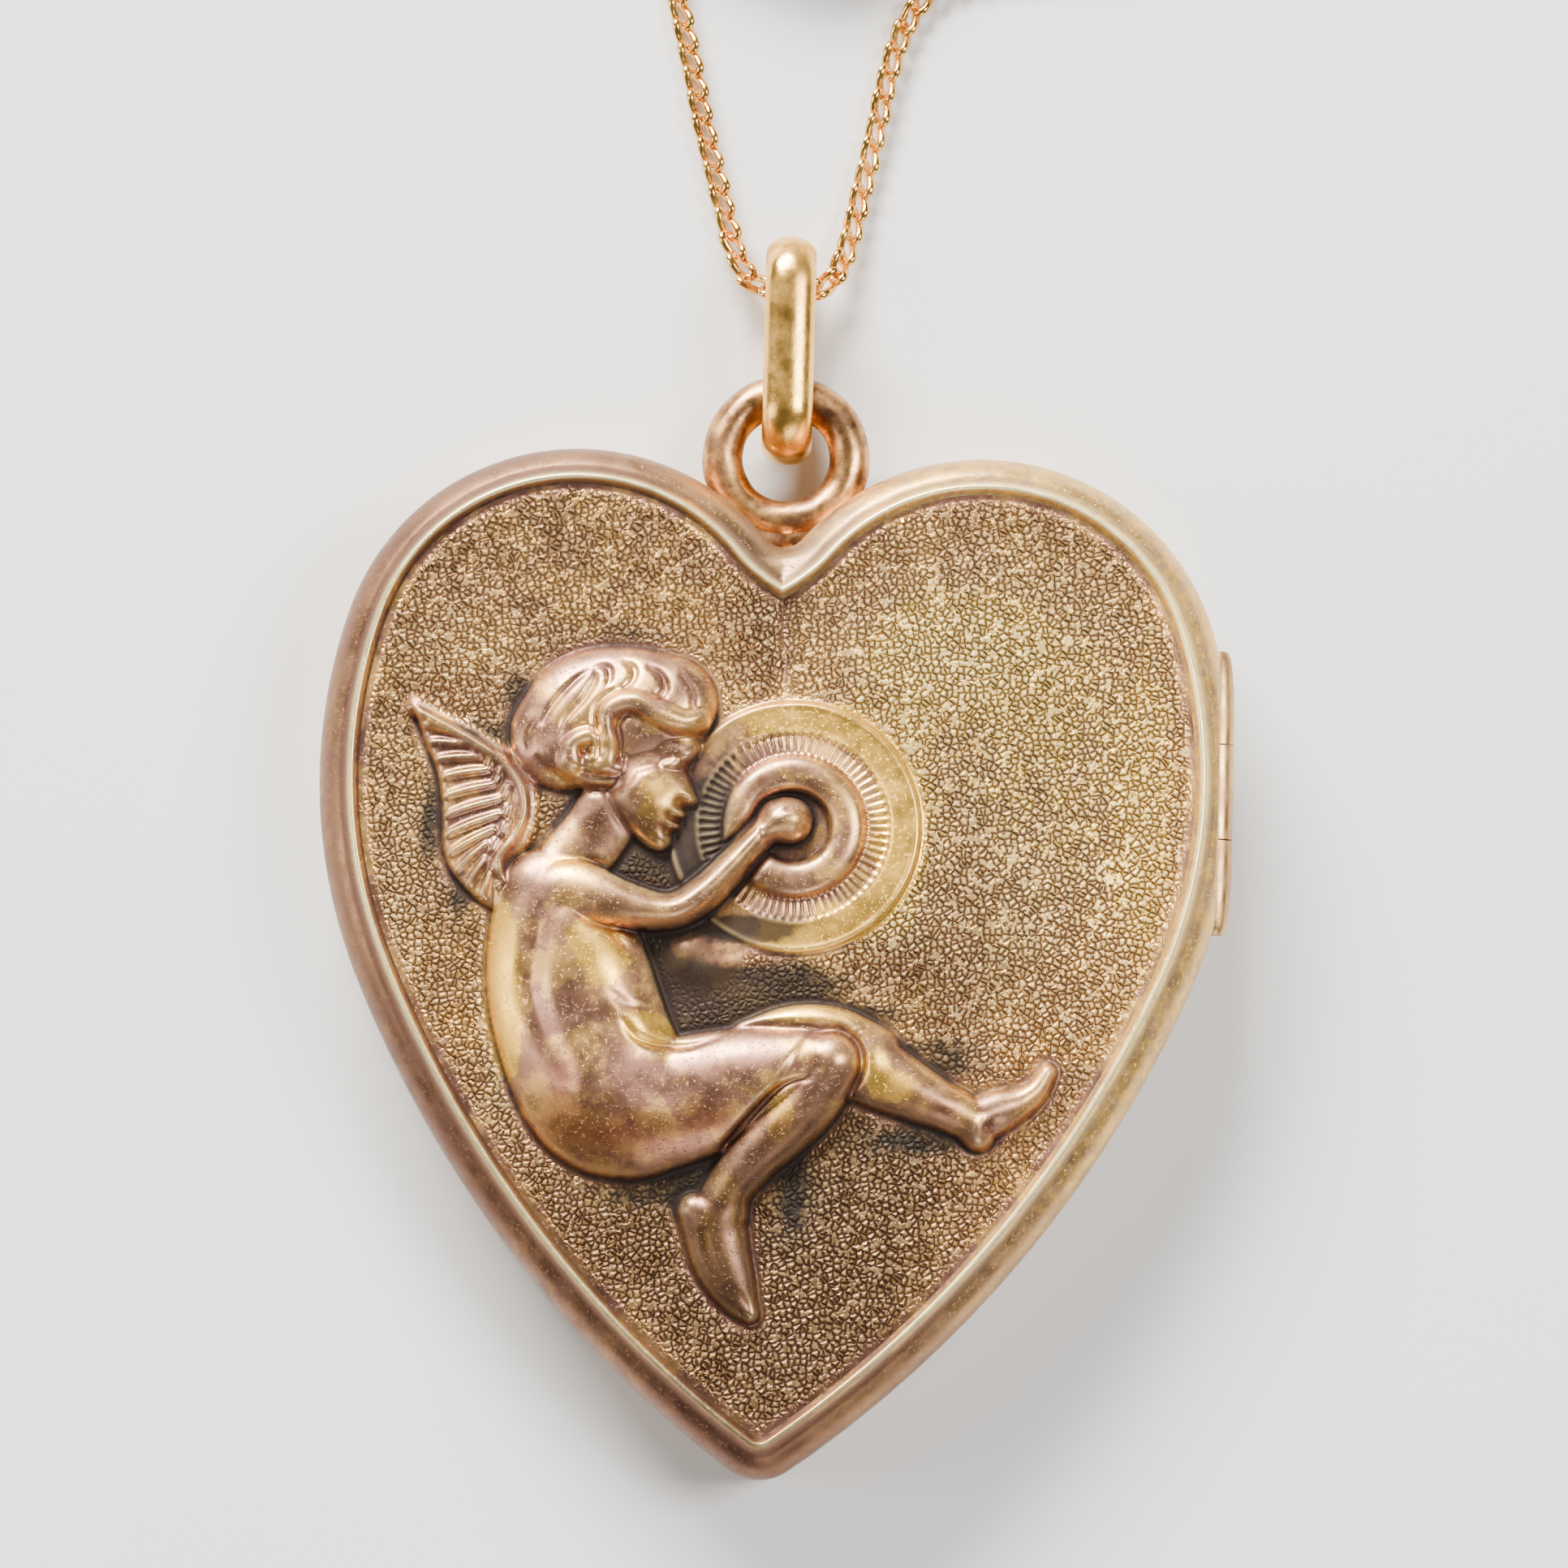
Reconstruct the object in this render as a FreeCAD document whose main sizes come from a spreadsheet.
"""Heart-shaped hinged locket on a fine chain, in millimetres, lying on its back.

Frame: +Z out of the decorated front, +Y towards the hanging ring, hinge on the +X side.
The origin is under the middle of the locket and its bail, on the surface it lies on.
"""
import FreeCAD
import Part
import math
import os
import Sketcher
from FreeCAD import Rotation, Vector

doc = FreeCAD.newDocument("locket")
sheet = doc.addObject("Spreadsheet::Sheet", "Sheet")

SIZES = {
    # heart outline: arcs measured from the point of the heart, which is pushed back by heart_place
    "half_width": 15.55,
    "lobe_x": 6.9,
    "lobe_y": 26.7,
    "lobe_radius": 8.2,
    "side_radius": 18.0,
    "lower_radius": 38.98,
    "lower_x": 21.72,
    "tip_radius": 1.7,
    "cleft_radius": 0.8,
    "heart_place": -21.45,
    # case: heights are above the surface the locket lies on
    "parting": 3.0,
    "parting_gap": 0.04,
    "rim_top": 5.6,
    "rim_round": 1.2,
    "back_round": 1.0,
    "field_inset": 1.3,
    "field_bottom": 5.0,
    "dome_top": 6.0,
    "dome_radius": 200.0,
    "dome_y": 18.5,
    "wall": 0.45,
    "thumb_y": 23.4,
    "thumb_radius": 1.3,
    "thumb_depth": 0.45,
    # relief struck up in the field: a round boss behind a winged child
    "disc_x": 0.65,
    "disc_y": 22.3,
    "disc_radius": 4.3,
    "disc_height": 0.2,
    # hinge: three knuckles on one pin, along Y
    "hinge_x": 15.0,
    "hinge_y": 23.76,
    "knuckle_radius": 0.6,
    "knuckle_length": 3.2,
    "knuckle_gap": 0.06,
    "knuckle_clearance": 0.12,
    "pin_radius": 0.25,
    "pin_clearance": 0.03,
    "facet_clearance": 0.05,
    # inside: flat on the hinge side, with a snap rim and a framed picture in each half
    "hollow_side": 13.9,
    "rim_inset": 0.57,
    "rim_thickness": 0.4,
    "rim_side": 13.2,
    "rim_bottom": 1.85,
    "rim_height": 3.75,
    "piece_inset": 0.5,
    "frame_width": 1.1,
    "frame_thickness": 0.62,
    "crystal_thickness": 0.3,
    "photo_thickness": 0.18,
    "front_frame_thickness": 0.35,
    "front_crystal_thickness": 0.25,
    "front_photo_thickness": 0.12,
    "layer_gap": 0.03,
    "front_stack": 3.82,
    # hanging ring and bail
    "ring_y": 35.1,
    "ring_z": 2.0,
    "ring_middle": 2.2,
    "ring_wire": 0.7,
    "seat_width": 2.6,
    "seat_foot": 31.2,
    "seat_bottom": 1.5,
    "seat_height": 1.0,
    "bail_low": 34.9,
    "bail_high": 42.9,
    "bail_half": 1.9,
    "bail_metal": 0.6,
    "bail_width": 1.75,
    "bail_round": 0.24,
    # chain: the stored length is wound into a tied coil
    "chain_radius": 0.35,
    "coil_x": -0.6,
    "coil_y": 59.6,
    "coil_middle": 4.0,
    "coil_breadth": 2.9,
    "coil_base": 0.24,
    "coil_height": 3.2,
    "coil_round": 0.7,
    "tie_metal": 0.18,
    "tie_gap": 0.06,
    "tie_width": 1.0,
    # spring-ring clasp
    "clasp_x": 9.4,
    "clasp_y": 58.6,
    "clasp_z": 1.0,
    "clasp_middle": 2.1,
    "clasp_tube": 0.6,
    "clasp_bore": 0.36,
    "tongue_wire": 0.3,
    "knob_wire": 0.2,
    "knob_reach": 3.3,
    "eye_middle": 0.75,
    "eye_wire": 0.2,
    "eye_offset": 3.35,
    "link_middle": 0.85,
    "link_wire": 0.17,
    "end_ring_middle": 1.15,
    "end_ring_wire": 0.18,
    "end_ring_drop": 0.1,
}

# Masses of the relief: place, half length, half breadth, height over the dome's top, turn in degrees.
RELIEF = {
    "head": (-4.9, 25.5, 3.0, 2.9, 0.55, 0),
    "torso": (-6.7, 16.4, 4.9, 2.7, 0.6, -76),
    "thigh": (-1.5, 13.5, 4.8, 1.8, 0.65, 16),
    "shin": (0.0, 12.0, 3.5, 1.2, 0.4, 47),
    "foot": (-1.6, 7.3, 2.2, 0.8, 0.3, -56),
    "far_shin": (5.3, 13.1, 2.4, 1.0, 0.25, -40),
    "far_foot": (8.3, 12.8, 1.9, 0.75, 0.2, 42),
    "upper_arm": (-5.7, 20.2, 2.8, 1.1, 0.6, -22),
    "forearm": (-1.5, 20.9, 2.9, 0.95, 0.55, 37),
    "wing": (-10.9, 23.2, 4.3, 2.2, 0.3, -64),
}
RELIEF_FIELDS = ("x", "y", "length", "breadth", "height", "turn")

for mass, numbers in RELIEF.items():
    for field, number in zip(RELIEF_FIELDS, numbers):
        SIZES[f"{mass}_{field}"] = number

for row, (alias, value) in enumerate(SIZES.items(), start=1):
    sheet.set(f"A{row}", alias)
    sheet.set(f"B{row}", str(value))
    sheet.setAlias(f"B{row}", alias)
doc.recompute()

UP = Vector(0, 0, 1)
BIG = 30.0          # reach of a cutting block past the locket
OVERRUN = 1.0       # how far a cutting solid runs past the face it opens
SAME = 1e-6         # lengths closer than this are equal


def value_of(formula):
    """The number a spreadsheet formula gives now."""
    return float(sheet.evalExpression(formula))


def cell(alias):
    return float(getattr(sheet, alias))


def place(thing, x="0", y="0", z="0"):
    """Bind a solid's position to the sheet."""
    for axis, formula in (("x", x), ("y", y), ("z", z)):
        thing.setExpression(f"Placement.Base.{axis}", formula)
    return thing


def joined(kind, label, *shapes):
    """A fuse or common of several solids."""
    feature = doc.addObject(f"Part::{kind}", label)
    feature.Shapes = list(shapes)
    feature.Refine = True
    return feature


def fuse(label, *shapes):
    return joined("MultiFuse", label, *shapes)


def common(label, *shapes):
    return joined("MultiCommon", label, *shapes)


def cut(label, base, tool):
    feature = doc.addObject("Part::Cut", label)
    feature.Base = base
    feature.Tool = tool
    feature.Refine = True
    return feature


# ---------------------------------------------------------------- heart outline

def angle(start, end):
    return math.atan2(end.y - start.y, end.x - start.x)


def heart_centres():
    """Centres of the outline's arcs on the right half: cleft, lobe, side, lower side and point."""
    side_x = cell("half_width") - cell("side_radius")
    lobe = Vector(cell("lobe_x"), cell("lobe_y"), 0)
    lobe_to_side = cell("side_radius") - cell("lobe_radius")
    side = Vector(side_x, lobe.y - math.sqrt(lobe_to_side ** 2 - (lobe.x - side_x) ** 2), 0)
    side_to_lower = cell("lower_radius") - cell("side_radius")
    lower_x = -cell("lower_x")
    lower = Vector(lower_x, side.y + math.sqrt(side_to_lower ** 2 - (side.x - lower_x) ** 2), 0)
    lower_to_tip = cell("lower_radius") - cell("tip_radius")
    tip = Vector(0, lower.y - math.sqrt(lower_to_tip ** 2 - lower.x ** 2), 0)
    cleft_to_lobe = cell("cleft_radius") + cell("lobe_radius")
    cleft = Vector(0, lobe.y + math.sqrt(cleft_to_lobe ** 2 - lobe.x ** 2), 0)
    return cleft, lobe, side, lower, tip


def half_heart_sketch(label, inset):
    """Right half of the heart outline, drawn in by a formula's distance all round."""
    cleft, lobe, side, lower, tip = heart_centres()
    drawn_in = value_of(inset)
    at_cleft = angle(cleft, lobe)
    at_lobe = angle(side, lobe)
    at_side = angle(lower, side)
    at_tip = angle(lower, tip)
    sketch = doc.addObject("Sketcher::SketchObject", label)

    def arc(centre, radius, start, end):
        circle = Part.Circle(centre, UP, radius)
        return sketch.addGeometry(Part.ArcOfCircle(circle, start, end), False)

    cleft_arc = arc(cleft, cell("cleft_radius") + drawn_in, -math.pi / 2, at_cleft)
    lobe_arc = arc(lobe, cell("lobe_radius") - drawn_in, at_lobe, at_cleft + math.pi)
    side_arc = arc(side, cell("side_radius") - drawn_in, at_side, at_lobe)
    lower_arc = arc(lower, cell("lower_radius") - drawn_in, at_tip, at_side)
    tip_arc = arc(tip, cell("tip_radius") - drawn_in, -math.pi / 2, at_tip)
    point = Vector(0, tip.y - cell("tip_radius") + drawn_in, 0)
    notch = Vector(0, cleft.y - cell("cleft_radius") - drawn_in, 0)
    middle_line = sketch.addGeometry(Part.LineSegment(point, notch), False)

    def hold(kind, *arguments):
        return sketch.addConstraint(Sketcher.Constraint(kind, *arguments))

    def drive(formula, kind, *arguments):
        index = hold(kind, *arguments, value_of(formula))
        sketch.setExpression(f"Constraints[{index}]", formula)

    hold("Tangent", cleft_arc, 2, lobe_arc, 2)
    hold("Tangent", lobe_arc, 1, side_arc, 2)
    hold("Tangent", side_arc, 1, lower_arc, 2)
    hold("Tangent", lower_arc, 1, tip_arc, 2)
    hold("Coincident", middle_line, 1, tip_arc, 1)
    hold("Coincident", middle_line, 2, cleft_arc, 1)
    for end_arc in (cleft_arc, tip_arc):
        hold("PointOnObject", end_arc, 3, -2)
        hold("PointOnObject", end_arc, 1, -2)
    drive(f"Sheet.cleft_radius + ({inset})", "Radius", cleft_arc)
    drive(f"Sheet.lobe_radius - ({inset})", "Radius", lobe_arc)
    drive(f"Sheet.side_radius - ({inset})", "Radius", side_arc)
    drive(f"Sheet.lower_radius - ({inset})", "Radius", lower_arc)
    drive(f"Sheet.tip_radius - ({inset})", "Radius", tip_arc)
    drive("Sheet.lobe_x", "DistanceX", -1, 1, lobe_arc, 3)
    drive("Sheet.lobe_y", "DistanceY", -1, 1, lobe_arc, 3)
    drive("Sheet.side_radius - Sheet.half_width", "DistanceX", side_arc, 3, -1, 1)
    drive("Sheet.lower_x", "DistanceX", lower_arc, 3, -1, 1)
    return sketch


def heart_block(label, inset, bottom, top):
    """A heart-shaped plate between two heights."""
    half = doc.addObject("Part::Extrusion", f"{label}_half")
    half.Base = half_heart_sketch(f"{label}_outline", inset)
    half.DirMode = "Custom"
    half.Dir = UP
    half.Solid = True
    half.setExpression("LengthFwd", f"({top}) - ({bottom})")
    other = doc.addObject("Part::Mirroring", f"{label}_other")
    other.Source = half
    other.Normal = Vector(1, 0, 0)
    plate = fuse(label, half, other)
    return place(plate, y="Sheet.heart_place", z=bottom)


def rounded_rim(label, block, height, radius):
    """Round the outline's edge at one height."""
    doc.recompute()
    level = value_of(height)
    edges = [
        (index, value_of(radius), value_of(radius))
        for index, edge in enumerate(block.Shape.Edges, start=1)
        if abs(edge.BoundBox.ZMin - level) < SAME and abs(edge.BoundBox.ZMax - level) < SAME
    ]
    rounded = doc.addObject("Part::Fillet", label)
    rounded.Base = block
    rounded.Edges = edges
    return rounded


def side_block(label, reach):
    """Everything on the locket's side of a wall that stands at x = reach."""
    block = doc.addObject("Part::Box", label)
    block.setExpression("Length", f"{BIG} + ({reach})")
    block.Width = 2 * BIG
    block.Height = 2 * BIG
    return place(block, x=f"{-BIG}", y=f"{-BIG}", z=f"{-BIG}")


def hinge_side_block(label, start):
    """Everything outside a wall that stands at x = start."""
    block = doc.addObject("Part::Box", label)
    block.Length = BIG
    block.Width = 2 * BIG
    block.Height = 2 * BIG
    return place(block, x=start, y=f"{-BIG}", z=f"{-BIG}")


def flat_sided_heart(label, inset, reach, bottom, top):
    """A heart plate cut straight on the hinge side."""
    plate = heart_block(f"{label}_plate", inset, bottom, top)
    return common(label, plate, side_block(f"{label}_side", reach))


def dome(label, top):
    """Ball whose upper cap is the field's gentle dome."""
    ball = doc.addObject("Part::Sphere", label)
    ball.setExpression("Radius", "Sheet.dome_radius")
    return place(ball, y="Sheet.heart_place + Sheet.dome_y", z=f"({top}) - Sheet.dome_radius")


# ---------------------------------------------------------------- round parts

def body_with_sketch(label, plane):
    """A body with an empty sketch on one of its own origin planes."""
    body = doc.addObject("PartDesign::Body", label)
    sketch = body.newObject("Sketcher::SketchObject", f"{label}_sketch")
    origin_plane = next(f for f in body.Origin.OriginFeatures if f.Role == plane)
    sketch.AttachmentSupport = [(origin_plane, "")]
    sketch.MapMode = "FlatFace"
    return body, sketch


def driven_circle(sketch, radius, x="0", y="0"):
    """A circle whose radius and centre follow the sheet."""
    centre = Vector(value_of(x), value_of(y), 0)
    circle = sketch.addGeometry(Part.Circle(centre, UP, value_of(radius)), False)
    index = sketch.addConstraint(Sketcher.Constraint("Radius", circle, value_of(radius)))
    sketch.setExpression(f"Constraints[{index}]", radius)
    for kind, formula, axis in (("DistanceX", x, -2), ("DistanceY", y, -1)):
        if value_of(formula) == 0:
            sketch.addConstraint(Sketcher.Constraint("PointOnObject", circle, 3, axis))
        else:
            index = sketch.addConstraint(
                Sketcher.Constraint(kind, -1, 1, circle, 3, value_of(formula)))
            sketch.setExpression(f"Constraints[{index}]", formula)


def round_rod(label, radius, length, bore=None):
    """A rod or tube along Y, centred on its own origin."""
    body, sketch = body_with_sketch(label, "XZ_Plane")
    driven_circle(sketch, radius)
    if bore:
        driven_circle(sketch, bore)
    pad = body.newObject("PartDesign::Pad", f"{label}_pad")
    pad.Profile = sketch
    pad.Midplane = True
    pad.setExpression("Length", length)
    return body


def wire_ring(label, middle, wire, start=0.0, sweep=360.0, bore=None):
    """A ring of round wire lying flat, or part of one, from a start angle."""
    body, sketch = body_with_sketch(label, "XZ_Plane")
    driven_circle(sketch, wire, x=middle)
    if bore:
        driven_circle(sketch, bore, x=middle)
    turn = body.newObject("PartDesign::Revolution", f"{label}_turn")
    turn.Profile = sketch
    turn.ReferenceAxis = (sketch, ["V_Axis"])
    turn.Angle = sweep
    body.Placement = FreeCAD.Placement(Vector(), Rotation(UP, start))
    return body


def stand_up(body, about, degrees):
    """Turn a flat ring about an axis through its centre."""
    body.Placement = FreeCAD.Placement(Vector(), Rotation(about, degrees))
    return body


# ---------------------------------------------------------------- hinge

def knuckle_centre(step):
    """Place of a knuckle along the pin: -1 near the point of the heart, 0 middle, 1 near the ring."""
    return (f"Sheet.heart_place + Sheet.hinge_y"
            f" + ({step}) * (Sheet.knuckle_length + Sheet.knuckle_gap)")


def on_pin(thing, along):
    return place(thing, x="Sheet.hinge_x", y=along, z="Sheet.parting + Sheet.parting_gap / 2")


def knuckle(label, step):
    tube = round_rod(label, "Sheet.knuckle_radius", "Sheet.knuckle_length",
                     bore="Sheet.pin_radius + Sheet.pin_clearance")
    return on_pin(tube, knuckle_centre(step))


def knuckle_space(label, step, clearance):
    """The round seat a cover leaves for one knuckle."""
    seat = round_rod(label, f"Sheet.knuckle_radius + {clearance}",
                     "Sheet.knuckle_length + 2 * Sheet.knuckle_gap")
    return on_pin(seat, knuckle_centre(step))


def hinge_cuts(cover, own_steps, other_steps):
    """What a cover gives up on the hinge side: a flat facet and the knuckles' seats."""
    cuts = [hinge_side_block(f"{cover}_facet", "Sheet.hinge_x - Sheet.facet_clearance")]
    for step in own_steps:
        cuts.append(knuckle_space(f"{cover}_seat_{step + 2}", step, "0"))
    for step in other_steps:
        cuts.append(knuckle_space(f"{cover}_seat_{step + 2}", step, "Sheet.knuckle_clearance"))
    return cuts


FRONT_STEPS = (0,)
BACK_STEPS = (-1, 1)


# ---------------------------------------------------------------- covers

def relief_disc():
    """The flat round boss at the middle of the struck field."""
    disc = doc.addObject("Part::Cylinder", "relief_disc")
    disc.setExpression("Radius", "Sheet.disc_radius")
    disc.setExpression("Height", "Sheet.dome_top + Sheet.disc_height - Sheet.field_bottom")
    return place(disc, x="Sheet.disc_x", y="Sheet.heart_place + Sheet.disc_y",
                 z="Sheet.field_bottom")


def relief_mass(mass):
    """One swelling of the figure: an ellipsoid sunk in the field."""
    swelling = doc.addObject("Part::Ellipsoid", f"relief_{mass}")
    swelling.setExpression("Radius1", f"Sheet.dome_top + Sheet.{mass}_height - Sheet.field_bottom")
    swelling.setExpression("Radius2", f"Sheet.{mass}_length")
    swelling.setExpression("Radius3", f"Sheet.{mass}_breadth")
    swelling.Placement = FreeCAD.Placement(Vector(), Rotation(UP, cell(f"{mass}_turn")))
    place(swelling, x=f"Sheet.{mass}_x", y=f"Sheet.heart_place + Sheet.{mass}_y",
          z="Sheet.field_bottom")
    above = heart_block(f"relief_{mass}_above", "Sheet.field_inset", "Sheet.field_bottom",
                        f"Sheet.dome_top + 2 * {OVERRUN}")
    return common(f"relief_{mass}_top", swelling, above)


def thumb_notch():
    """A scallop in the front cover's lower edge, opposite the hinge, for a thumbnail."""
    scoop = doc.addObject("Part::Cylinder", "thumb_scoop")
    scoop.setExpression("Radius", "Sheet.thumb_radius")
    scoop.Height = 2 * cell("wall")
    scoop.Placement = FreeCAD.Placement(Vector(), Rotation(Vector(0, 1, 0), 90))
    return place(
        scoop,
        x="-Sheet.half_width - Sheet.wall",
        y="Sheet.heart_place + Sheet.thumb_y",
        z="Sheet.parting + Sheet.parting_gap + Sheet.thumb_depth - Sheet.thumb_radius")


def front_cover():
    """The struck front: rounded rim, domed field sunk inside it, thin shell behind."""
    edge = "Sheet.parting + Sheet.parting_gap"
    block = heart_block("front_block", "0", edge, "Sheet.rim_top")
    rounded = rounded_rim("front_rounded", block, "Sheet.rim_top", "Sheet.rim_round")
    sunk = heart_block("front_sunk", "Sheet.field_inset", "Sheet.field_bottom",
                       f"Sheet.rim_top + {OVERRUN}")
    rim = cut("front_rim", rounded, sunk)
    field_plate = heart_block("front_field_plate", "Sheet.field_inset", "Sheet.field_bottom",
                              f"Sheet.dome_top + {OVERRUN}")
    field = common("front_field", field_plate, dome("front_dome", "Sheet.dome_top"))
    full = fuse("front_full", rim, field, relief_disc(), *map(relief_mass, RELIEF))
    hollow_plate = flat_sided_heart("front_hollow_plate", "Sheet.wall", "Sheet.hollow_side",
                                    f"{edge} - {OVERRUN}", "Sheet.dome_top")
    hollow = common("front_hollow", hollow_plate,
                    dome("front_inner_dome", "Sheet.dome_top - Sheet.wall"))
    cuts = hinge_cuts("front_cover", FRONT_STEPS, BACK_STEPS)
    removed = fuse("front_removed", hollow, thumb_notch(), *cuts)
    return cut("front_cover", full, removed)


def back_cover():
    """The plain back: flat outside, rounded all round, hollow."""
    block = heart_block("back_block", "0", "0", "Sheet.parting")
    rounded = rounded_rim("back_rounded", block, "0", "Sheet.back_round")
    hollow = flat_sided_heart("back_hollow", "Sheet.wall", "Sheet.hollow_side",
                              "Sheet.wall", f"Sheet.parting + {OVERRUN}")
    cuts = hinge_cuts("back_cover", BACK_STEPS, FRONT_STEPS)
    removed = fuse("back_removed", hollow, *cuts)
    return cut("back_cover", rounded, removed)


# ---------------------------------------------------------------- inside

def snap_rim():
    """Thin upright band inside the back, which the front closes over; open at the hinge."""
    inner = "Sheet.wall + Sheet.rim_thickness"
    low = heart_block("snap_low", "Sheet.wall", "Sheet.rim_bottom", "Sheet.parting")
    high = heart_block("snap_high", "Sheet.rim_inset", "Sheet.parting", "Sheet.rim_height")
    inside = heart_block("snap_inside", inner, f"Sheet.rim_bottom - {OVERRUN}",
                         f"Sheet.rim_height + {OVERRUN}")
    band = cut("snap_band", fuse("snap_full", low, high), inside)
    return common("snap_rim", band, side_block("snap_side", "Sheet.rim_side"))


def inner_piece(label, bottom, thickness):
    """A heart plate that fills one half's hollow."""
    reach = "Sheet.hollow_side - (Sheet.piece_inset - Sheet.wall)"
    return flat_sided_heart(label, "Sheet.piece_inset", reach, bottom,
                            f"{bottom} + {thickness}")


def picture_frame(label, bottom, thickness):
    """The heart-shaped bezel that keeps a picture and its crystal in."""
    plate = inner_piece(f"{label}_plate", bottom, thickness)
    reach = "Sheet.hollow_side - Sheet.frame_width"
    window = flat_sided_heart(f"{label}_window", "Sheet.piece_inset + Sheet.frame_width", reach,
                              f"{bottom} - {OVERRUN}",
                              f"{bottom} + {thickness} + {OVERRUN}")
    return cut(label, plate, window)


def back_pictures():
    """Picture, crystal and frame, from the back's floor up."""
    photo = "Sheet.wall + Sheet.layer_gap"
    crystal = f"{photo} + Sheet.photo_thickness + Sheet.layer_gap"
    frame = f"{crystal} + Sheet.crystal_thickness + Sheet.layer_gap"
    return [
        inner_piece("back_photo", photo, "Sheet.photo_thickness"),
        inner_piece("back_crystal", crystal, "Sheet.crystal_thickness"),
        picture_frame("back_frame", frame, "Sheet.frame_thickness"),
    ]


def front_pictures():
    """Frame, crystal and picture, from the parting line up."""
    frame = "Sheet.front_stack"
    crystal = f"{frame} + Sheet.front_frame_thickness + Sheet.layer_gap"
    photo = f"{crystal} + Sheet.front_crystal_thickness + Sheet.layer_gap"
    return [
        picture_frame("front_frame", frame, "Sheet.front_frame_thickness"),
        inner_piece("front_crystal", crystal, "Sheet.front_crystal_thickness"),
        inner_piece("front_photo", photo, "Sheet.front_photo_thickness"),
    ]


# ---------------------------------------------------------------- hanging ring and bail

def hanging_ring():
    """Round wire ring soldered in the cleft, low enough for the front to open past it."""
    ring = wire_ring("ring_wire", "Sheet.ring_middle", "Sheet.ring_wire")
    place(ring, y="Sheet.heart_place + Sheet.ring_y", z="Sheet.ring_z")
    lobes = heart_block("ring_lobes", "0", f"-{OVERRUN}", f"Sheet.parting + {OVERRUN}")
    return cut("hanging_ring", ring, lobes)


def ring_seat():
    """Solder web that fills the cleft under the ring."""
    web = doc.addObject("Part::Box", "seat_web")
    web.setExpression("Length", "Sheet.seat_width")
    web.setExpression("Width", "Sheet.ring_y - Sheet.ring_middle - Sheet.seat_foot")
    web.setExpression("Height", "Sheet.seat_height")
    place(web, x="-Sheet.seat_width / 2", y="Sheet.heart_place + Sheet.seat_foot",
          z="Sheet.seat_bottom")
    lobes = heart_block("seat_lobes", "0", f"-{OVERRUN}", f"Sheet.parting + {OVERRUN}")
    ring = wire_ring("seat_ring", "Sheet.ring_middle", "Sheet.ring_wire")
    place(ring, y="Sheet.heart_place + Sheet.ring_y", z="Sheet.ring_z")
    return cut("ring_seat", web, fuse("seat_removed", lobes, ring))


def driven_slot(sketch, low, high, radius):
    """A long slot with round ends along the sketch's first axis, driven by the sheet."""
    left = Vector(value_of(low), 0, 0)
    right = Vector(value_of(high), 0, 0)
    offset = Vector(0, value_of(radius), 0)
    quarter = math.pi / 2
    far_end = sketch.addGeometry(Part.ArcOfCircle(
        Part.Circle(right, UP, offset.y), -quarter, quarter), False)
    near_end = sketch.addGeometry(Part.ArcOfCircle(
        Part.Circle(left, UP, offset.y), quarter, 3 * quarter), False)
    above = sketch.addGeometry(Part.LineSegment(right + offset, left + offset), False)
    below = sketch.addGeometry(Part.LineSegment(left - offset, right - offset), False)

    def hold(kind, *arguments):
        return sketch.addConstraint(Sketcher.Constraint(kind, *arguments))

    hold("Tangent", far_end, 2, above, 1)
    hold("Tangent", above, 2, near_end, 1)
    hold("Tangent", near_end, 2, below, 1)
    hold("Tangent", below, 2, far_end, 1)
    hold("PointOnObject", far_end, 3, -1)
    hold("PointOnObject", near_end, 3, -1)
    for formula, arguments in (
            (radius, ("Radius", far_end)),
            (high, ("DistanceX", -1, 1, far_end, 3)),
            (low, ("DistanceX", -1, 1, near_end, 3))):
        index = hold(*arguments, value_of(formula))
        sketch.setExpression(f"Constraints[{index}]", formula)


def bail():
    """Long oval link of flat, soft-edged metal that stands on edge through the ring."""
    body, sketch = body_with_sketch("bail", "YZ_Plane")
    length = "(Sheet.bail_high - Sheet.bail_low)"
    near = "Sheet.bail_half"
    far = f"{length} - Sheet.bail_half"
    driven_slot(sketch, near, far, "Sheet.bail_half")
    driven_slot(sketch, near, far, "Sheet.bail_half - Sheet.bail_metal")
    pad = body.newObject("PartDesign::Pad", "bail_pad")
    pad.Profile = sketch
    pad.Midplane = True
    pad.setExpression("Length", "Sheet.bail_width")
    doc.recompute()
    half = cell("bail_width") / 2
    edges = [
        f"Edge{index}" for index, edge in enumerate(pad.Shape.Edges, start=1)
        if edge.BoundBox.XLength < SAME and abs(abs(edge.BoundBox.XMin) - half) < SAME
    ]
    soft = body.newObject("PartDesign::Fillet", "bail_soft")
    soft.Base = (pad, edges)
    soft.setExpression("Radius", "Sheet.bail_round")
    body.Tip = soft
    return place(body, y="Sheet.heart_place + Sheet.bail_low", z="Sheet.ring_z")


# ---------------------------------------------------------------- chain

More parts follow.
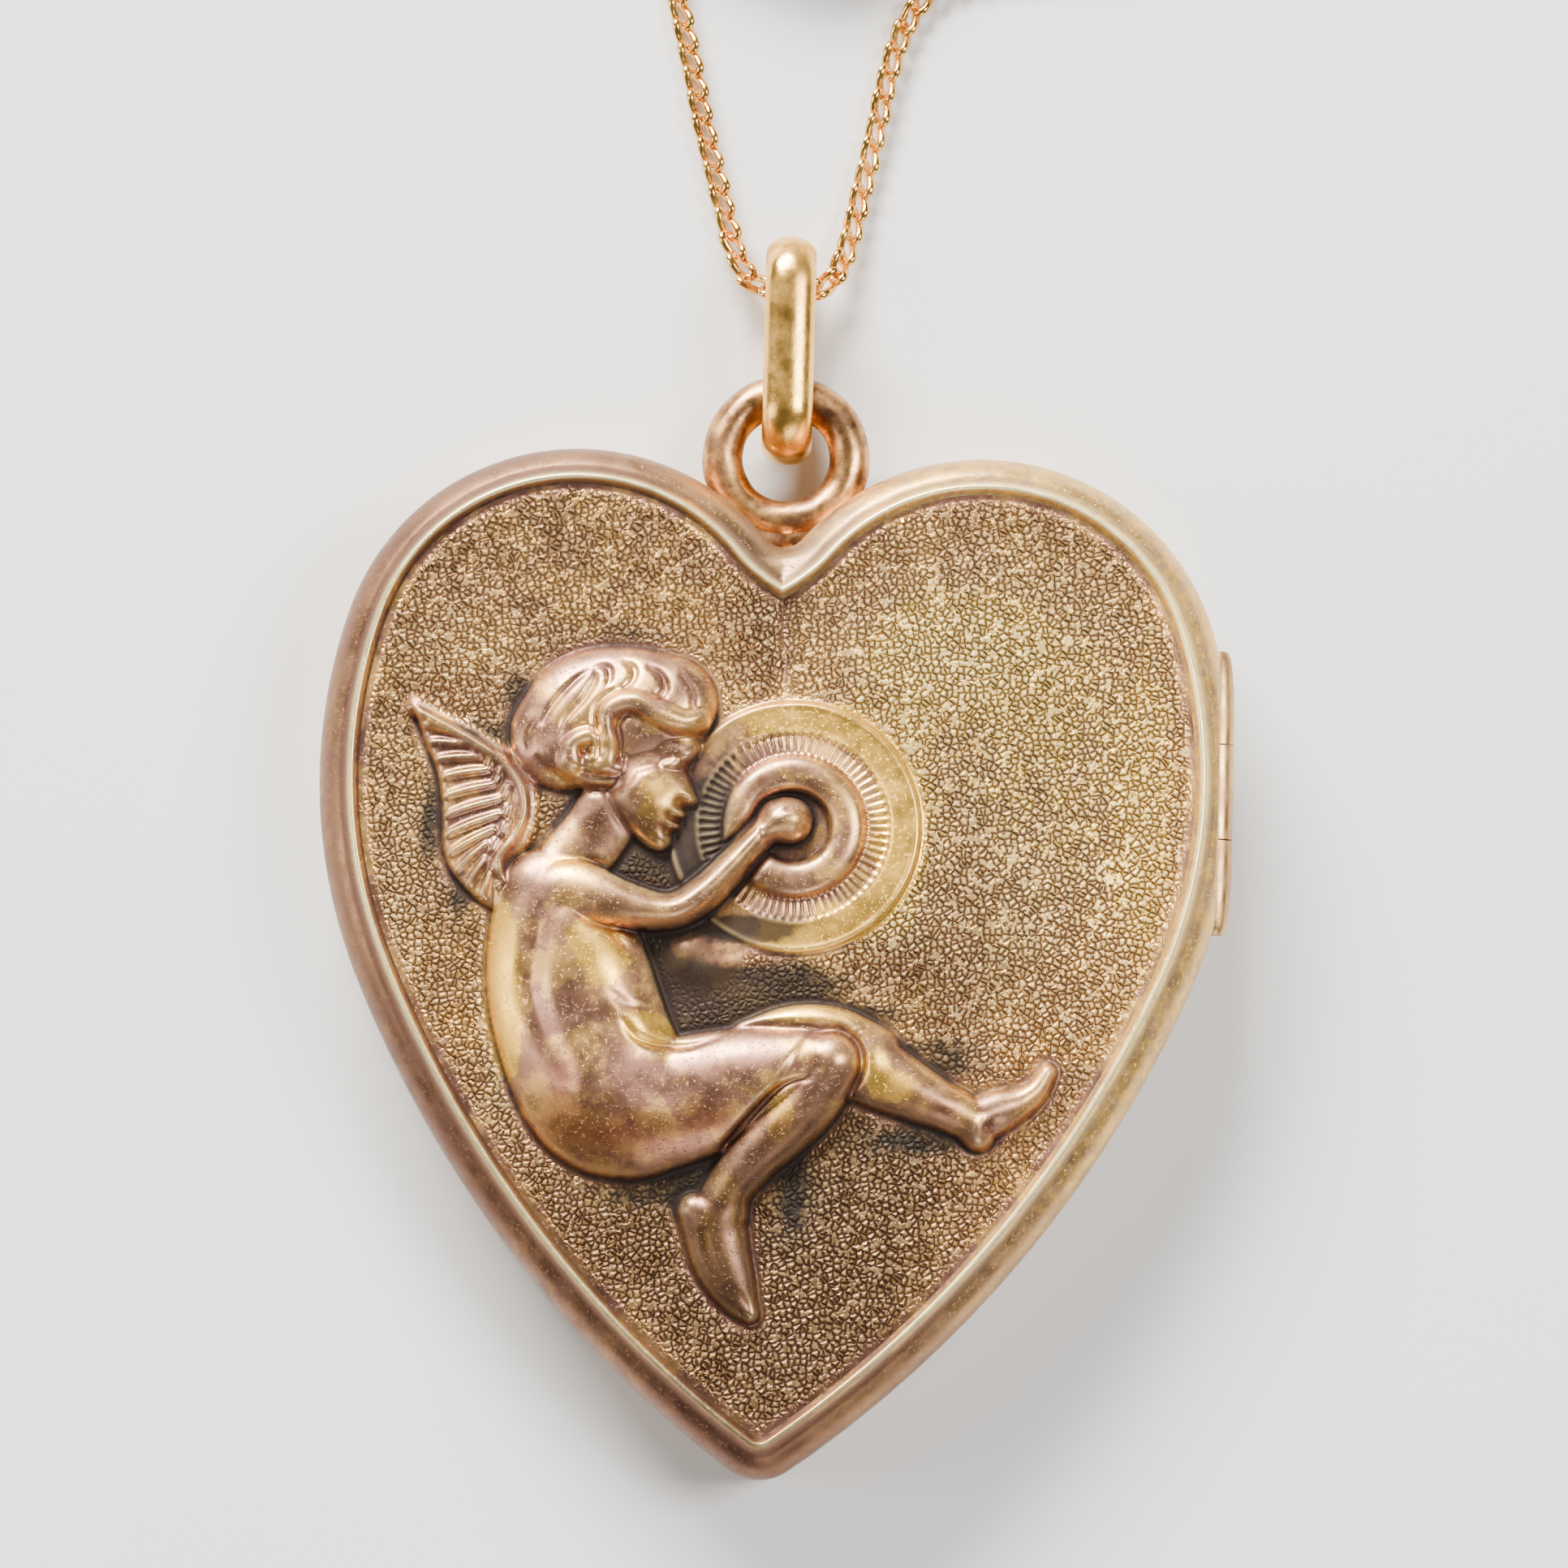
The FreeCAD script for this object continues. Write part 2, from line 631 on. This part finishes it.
# Routes of the chain from the middle of the bail, in the locket's frame.
LONG_RUN = [
    (0.0, 19.75, 1.22),
    (-1.35, 19.80, 1.20),
    (-2.05, 21.30, 0.52),
    (-2.55, 23.20, 0.36),
    (-3.15, 25.40, 0.36),
    (-3.70, 27.90, 0.36),
    (-4.35, 30.60, 0.38),
    (-4.72, 33.20, 0.58),
    (-4.60, 35.60, 0.80),
    (-4.45, 37.60, 0.95),
]
SHORT_RUN = [
    (0.0, 19.75, 1.22),
    (1.35, 19.80, 1.20),
    (1.95, 21.40, 0.52),
    (2.35, 23.40, 0.36),
    (2.85, 25.80, 0.36),
    (3.30, 28.20, 0.36),
    (4.05, 30.20, 0.36),
    (5.45, 31.45, 0.36),
    (7.25, 31.75, 0.36),
    (8.75, 32.00, 0.45),
    (9.36, 32.85, 0.80),
    (9.40, 33.68, 1.15),
]
TAIL_RUN = [
    (3.05, 41.10, 0.80),
    (4.60, 42.95, 0.46),
    (6.50, 44.05, 0.38),
    (8.20, 44.25, 0.50),
    (9.25, 43.45, 0.85),
    (9.40, 42.41, 1.02),
]


ARC_SHARE = 0.45        # share of the shorter run that a corner's arc takes up
VOLUME_TOLERANCE = 0.03


def corner_radii(points):
    """Radius of the arc at each inner point of a route."""
    radii = []
    for before, corner, after in zip(points, points[1:], points[2:]):
        into = corner - before
        out = after - corner
        turn = into.getAngle(out)
        radii.append(ARC_SHARE * min(into.Length, out.Length) / math.tan(turn / 2))
    return radii


def route_wire(points):
    """Straight runs joined by tangent arcs."""
    edges = []
    start = points[0]
    corners = zip(points, points[1:], points[2:], corner_radii(points))
    for before, corner, after, radius in corners:
        into = (corner - before).normalize()
        out = (after - corner).normalize()
        turn = into.getAngle(out)
        reach = radius * math.tan(turn / 2)
        arc_start = corner - into * reach
        arc_end = corner + out * reach
        inward = (out - into).normalize()
        middle = corner + inward * (radius / math.cos(turn / 2) - radius)
        edges.append(Part.LineSegment(start, arc_start).toShape())
        edges.append(Part.Arc(arc_start, middle, arc_end).toShape())
        start = arc_end
    edges.append(Part.LineSegment(start, points[-1]).toShape())
    return Part.Wire(edges)


def chain_tube(label, route):
    """The space one run of chain fills, as a plain round tube."""
    points = [Vector(*point) for point in route]
    path = route_wire(points)
    radius = cell("chain_radius")
    heading = points[1] - points[0]
    section = Part.Wire(Part.Circle(points[0], heading, radius).toShape())
    tube = doc.addObject("Part::Feature", label)
    tube.Shape = path.makePipeShell([section], True, False)
    expected = math.pi * radius ** 2 * path.Length
    tightest = min(corner_radii(points))
    print(f"{label}: length {path.Length:.1f}, tightest radius {tightest:.2f},"
          f" volume {tube.Shape.Volume:.2f} of {expected:.2f}")
    if abs(tube.Shape.Volume - expected) > VOLUME_TOLERANCE * expected:
        raise RuntimeError(f"{label} has the wrong volume")
    return tube


def driven_box_sketch(sketch, left, right, low, high):
    """A rectangle whose four sides follow the sheet."""
    x0, x1, y0, y1 = (value_of(formula) for formula in (left, right, low, high))
    corners = [Vector(x0, y0, 0), Vector(x1, y0, 0), Vector(x1, y1, 0), Vector(x0, y1, 0)]
    lines = [
        sketch.addGeometry(Part.LineSegment(start, end), False)
        for start, end in zip(corners, corners[1:] + corners[:1])
    ]

    def hold(kind, *arguments):
        return sketch.addConstraint(Sketcher.Constraint(kind, *arguments))

    for line, following in zip(lines, lines[1:] + lines[:1]):
        hold("Coincident", line, 2, following, 1)
    hold("Horizontal", lines[0])
    hold("Horizontal", lines[2])
    hold("Vertical", lines[1])
    hold("Vertical", lines[3])
    for formula, kind, line, end in (
            (left, "DistanceX", lines[0], 1), (right, "DistanceX", lines[0], 2),
            (low, "DistanceY", lines[0], 1), (high, "DistanceY", lines[2], 1)):
        index = hold(kind, -1, 1, line, end, value_of(formula))
        sketch.setExpression(f"Constraints[{index}]", formula)


def soften(body, base, radius, wanted):
    """Round the chosen edges of a body's last feature."""
    doc.recompute()
    edges = [f"Edge{i}" for i, edge in enumerate(base.Shape.Edges, start=1) if wanted(edge)]
    soft = body.newObject("PartDesign::Fillet", f"{body.Name}_soft")
    soft.Base = (base, edges)
    soft.setExpression("Radius", radius)
    body.Tip = soft


def chain_coil():
    """Outer shape of the wound length: a thick ring lying flat."""
    body, sketch = body_with_sketch("chain_coil", "XZ_Plane")
    driven_box_sketch(sketch,
                      "Sheet.coil_middle - Sheet.coil_breadth / 2",
                      "Sheet.coil_middle + Sheet.coil_breadth / 2",
                      "Sheet.coil_base", "Sheet.coil_height")
    turn = body.newObject("PartDesign::Revolution", "chain_coil_turn")
    turn.Profile = sketch
    turn.ReferenceAxis = (sketch, ["V_Axis"])
    turn.Angle = 360
    soften(body, turn, "Sheet.coil_round", lambda edge: edge.BoundBox.ZLength < SAME)
    return place(body, x="Sheet.coil_x", y="Sheet.heart_place + Sheet.coil_y")


def coil_tie():
    """Band round the coil's far side."""
    body, sketch = body_with_sketch("coil_tie", "YZ_Plane")
    near = "Sheet.coil_middle - Sheet.coil_breadth / 2"
    far = "Sheet.coil_middle + Sheet.coil_breadth / 2"
    for spread in ("(Sheet.tie_gap + Sheet.tie_metal)", "Sheet.tie_gap"):
        driven_box_sketch(sketch, f"{near} - {spread}", f"{far} + {spread}",
                          f"Sheet.coil_base - {spread}", f"Sheet.coil_height + {spread}")
    pad = body.newObject("PartDesign::Pad", "coil_tie_pad")
    pad.Profile = sketch
    pad.Midplane = True
    pad.setExpression("Length", "Sheet.tie_width")
    return place(body, x="Sheet.coil_x", y="Sheet.heart_place + Sheet.coil_y")


# ---------------------------------------------------------------- spring-ring clasp

GAP_START = -60.0       # degrees round the clasp, from +X towards +Y
GAP_END = -15.0
TONGUE_START = -64.0
TONGUE_END = 20.0
KNOB_ANGLE = 10.0
KNOB_TRAVEL = 50.0
SPRING_START = 71.5
SPRING_END = 85.0
SLOT_SPARE = 7.0        # degrees of slot left beyond the knob at each end of its travel


def on_clasp(thing, offset="0"):
    return place(thing, x="Sheet.clasp_x",
                 y=f"Sheet.heart_place + Sheet.clasp_y + ({offset})", z="Sheet.clasp_z")


def clasp_body():
    """Hollow ring with a gap, a slot for the knob and an eye for the chain."""
    tube = on_clasp(wire_ring("clasp_ring", "Sheet.clasp_middle", "Sheet.clasp_tube",
                              start=GAP_END, sweep=360.0 + GAP_START - GAP_END,
                              bore="Sheet.clasp_bore"))
    slot, sketch = body_with_sketch("clasp_slot", "XZ_Plane")
    driven_box_sketch(sketch, "Sheet.clasp_middle", "Sheet.knob_reach + 1",
                      "-Sheet.knob_wire - 0.05", "Sheet.knob_wire + 0.05")
    turn = slot.newObject("PartDesign::Revolution", "clasp_slot_turn")
    turn.Profile = sketch
    turn.ReferenceAxis = (sketch, ["V_Axis"])
    turn.Angle = KNOB_TRAVEL + 2 * SLOT_SPARE
    slot.Placement = FreeCAD.Placement(Vector(), Rotation(UP, KNOB_ANGLE - SLOT_SPARE))
    on_clasp(slot)
    eye = on_clasp(wire_ring("clasp_eye", "Sheet.eye_middle", "Sheet.eye_wire"),
                   "Sheet.eye_offset")
    bore_line = on_clasp(wire_ring("clasp_bore_line", "Sheet.clasp_middle", "Sheet.clasp_bore"))
    outer = fuse("clasp_outer", tube, cut("clasp_eye_trimmed", eye, bore_line))
    return cut("clasp_body", outer, slot)


def clasp_trigger():
    """Curved tongue that closes the gap, with the knob that draws it back."""
    tongue = on_clasp(wire_ring("clasp_tongue", "Sheet.clasp_middle", "Sheet.tongue_wire",
                                start=TONGUE_START, sweep=TONGUE_END - TONGUE_START))
    knob = doc.addObject("Part::Cylinder", "clasp_knob")
    knob.setExpression("Radius", "Sheet.knob_wire")
    knob.setExpression("Height", "Sheet.knob_reach - Sheet.clasp_middle")
    along = Vector(math.cos(math.radians(KNOB_ANGLE)), math.sin(math.radians(KNOB_ANGLE)), 0)
    knob.Placement = FreeCAD.Placement(Vector(), Rotation(UP, along))
    place(knob,
          x=f"Sheet.clasp_x + Sheet.clasp_middle * {along.x}",
          y=f"Sheet.heart_place + Sheet.clasp_y + Sheet.clasp_middle * {along.y}",
          z="Sheet.clasp_z")
    return fuse("clasp_trigger", tongue, knob)


def clasp_spring():
    """The fine coil spring behind the tongue, as the space it fills when fully pressed."""
    return on_clasp(wire_ring("clasp_spring", "Sheet.clasp_middle", "Sheet.tongue_wire",
                              start=SPRING_START, sweep=SPRING_END - SPRING_START))


def clasp_link():
    """Jump ring standing on edge through the clasp's eye, where the chain ends."""
    ring = wire_ring("clasp_link", "Sheet.link_middle", "Sheet.link_wire")
    stand_up(ring, Vector(0, 1, 0), 90)
    return place(ring, x="Sheet.clasp_x",
                 y="Sheet.heart_place + Sheet.clasp_y + Sheet.eye_offset + Sheet.link_middle",
                 z="Sheet.link_middle + Sheet.link_wire")


def end_ring():
    """Ring at the chain's other end, hooked round the clasp's tube."""
    ring = wire_ring("end_ring", "Sheet.end_ring_middle", "Sheet.end_ring_wire")
    stand_up(ring, Vector(0, 1, 0), 90)
    return place(ring, x="Sheet.clasp_x",
                 y="Sheet.heart_place + Sheet.clasp_y - Sheet.clasp_middle - Sheet.end_ring_drop",
                 z="Sheet.end_ring_middle + Sheet.end_ring_wire")


# ---------------------------------------------------------------- the whole part

pieces = [
    front_cover(),
    back_cover(),
    snap_rim(),
    *back_pictures(),
    *front_pictures(),
    knuckle("front_knuckle", 0),
    knuckle("back_knuckle_low", -1),
    knuckle("back_knuckle_high", 1),
    on_pin(round_rod("hinge_pin", "Sheet.pin_radius",
                     "3 * Sheet.knuckle_length + 2 * Sheet.knuckle_gap"), knuckle_centre(0)),
    hanging_ring(),
    ring_seat(),
    bail(),
    chain_tube("chain_left_run", LONG_RUN),
    chain_tube("chain_right_run", SHORT_RUN),
    chain_tube("chain_tail", TAIL_RUN),
    chain_coil(),
    coil_tie(),
    clasp_body(),
    clasp_trigger(),
    clasp_spring(),
    clasp_link(),
    end_ring(),
]
doc.recompute()

for thing in doc.Objects:
    if "Invalid" in thing.State or "Error" in thing.State:
        raise RuntimeError(f"{thing.Label} did not build: {thing.State}")

os.makedirs("parts", exist_ok=True)
for piece in pieces:
    shape = piece.Shape
    if shape.isNull() or not shape.isValid():
        raise RuntimeError(f"{piece.Label} has no valid shape")
    shape.exportStep(os.path.join("parts", f"{piece.Label}.step"))
    box = shape.BoundBox
    print(f"{piece.Label}: {len(shape.Solids)} solid, {shape.Volume:.2f} mm3,"
          f" x {box.XMin:.2f}..{box.XMax:.2f}, y {box.YMin:.2f}..{box.YMax:.2f},"
          f" z {box.ZMin:.2f}..{box.ZMax:.2f}")
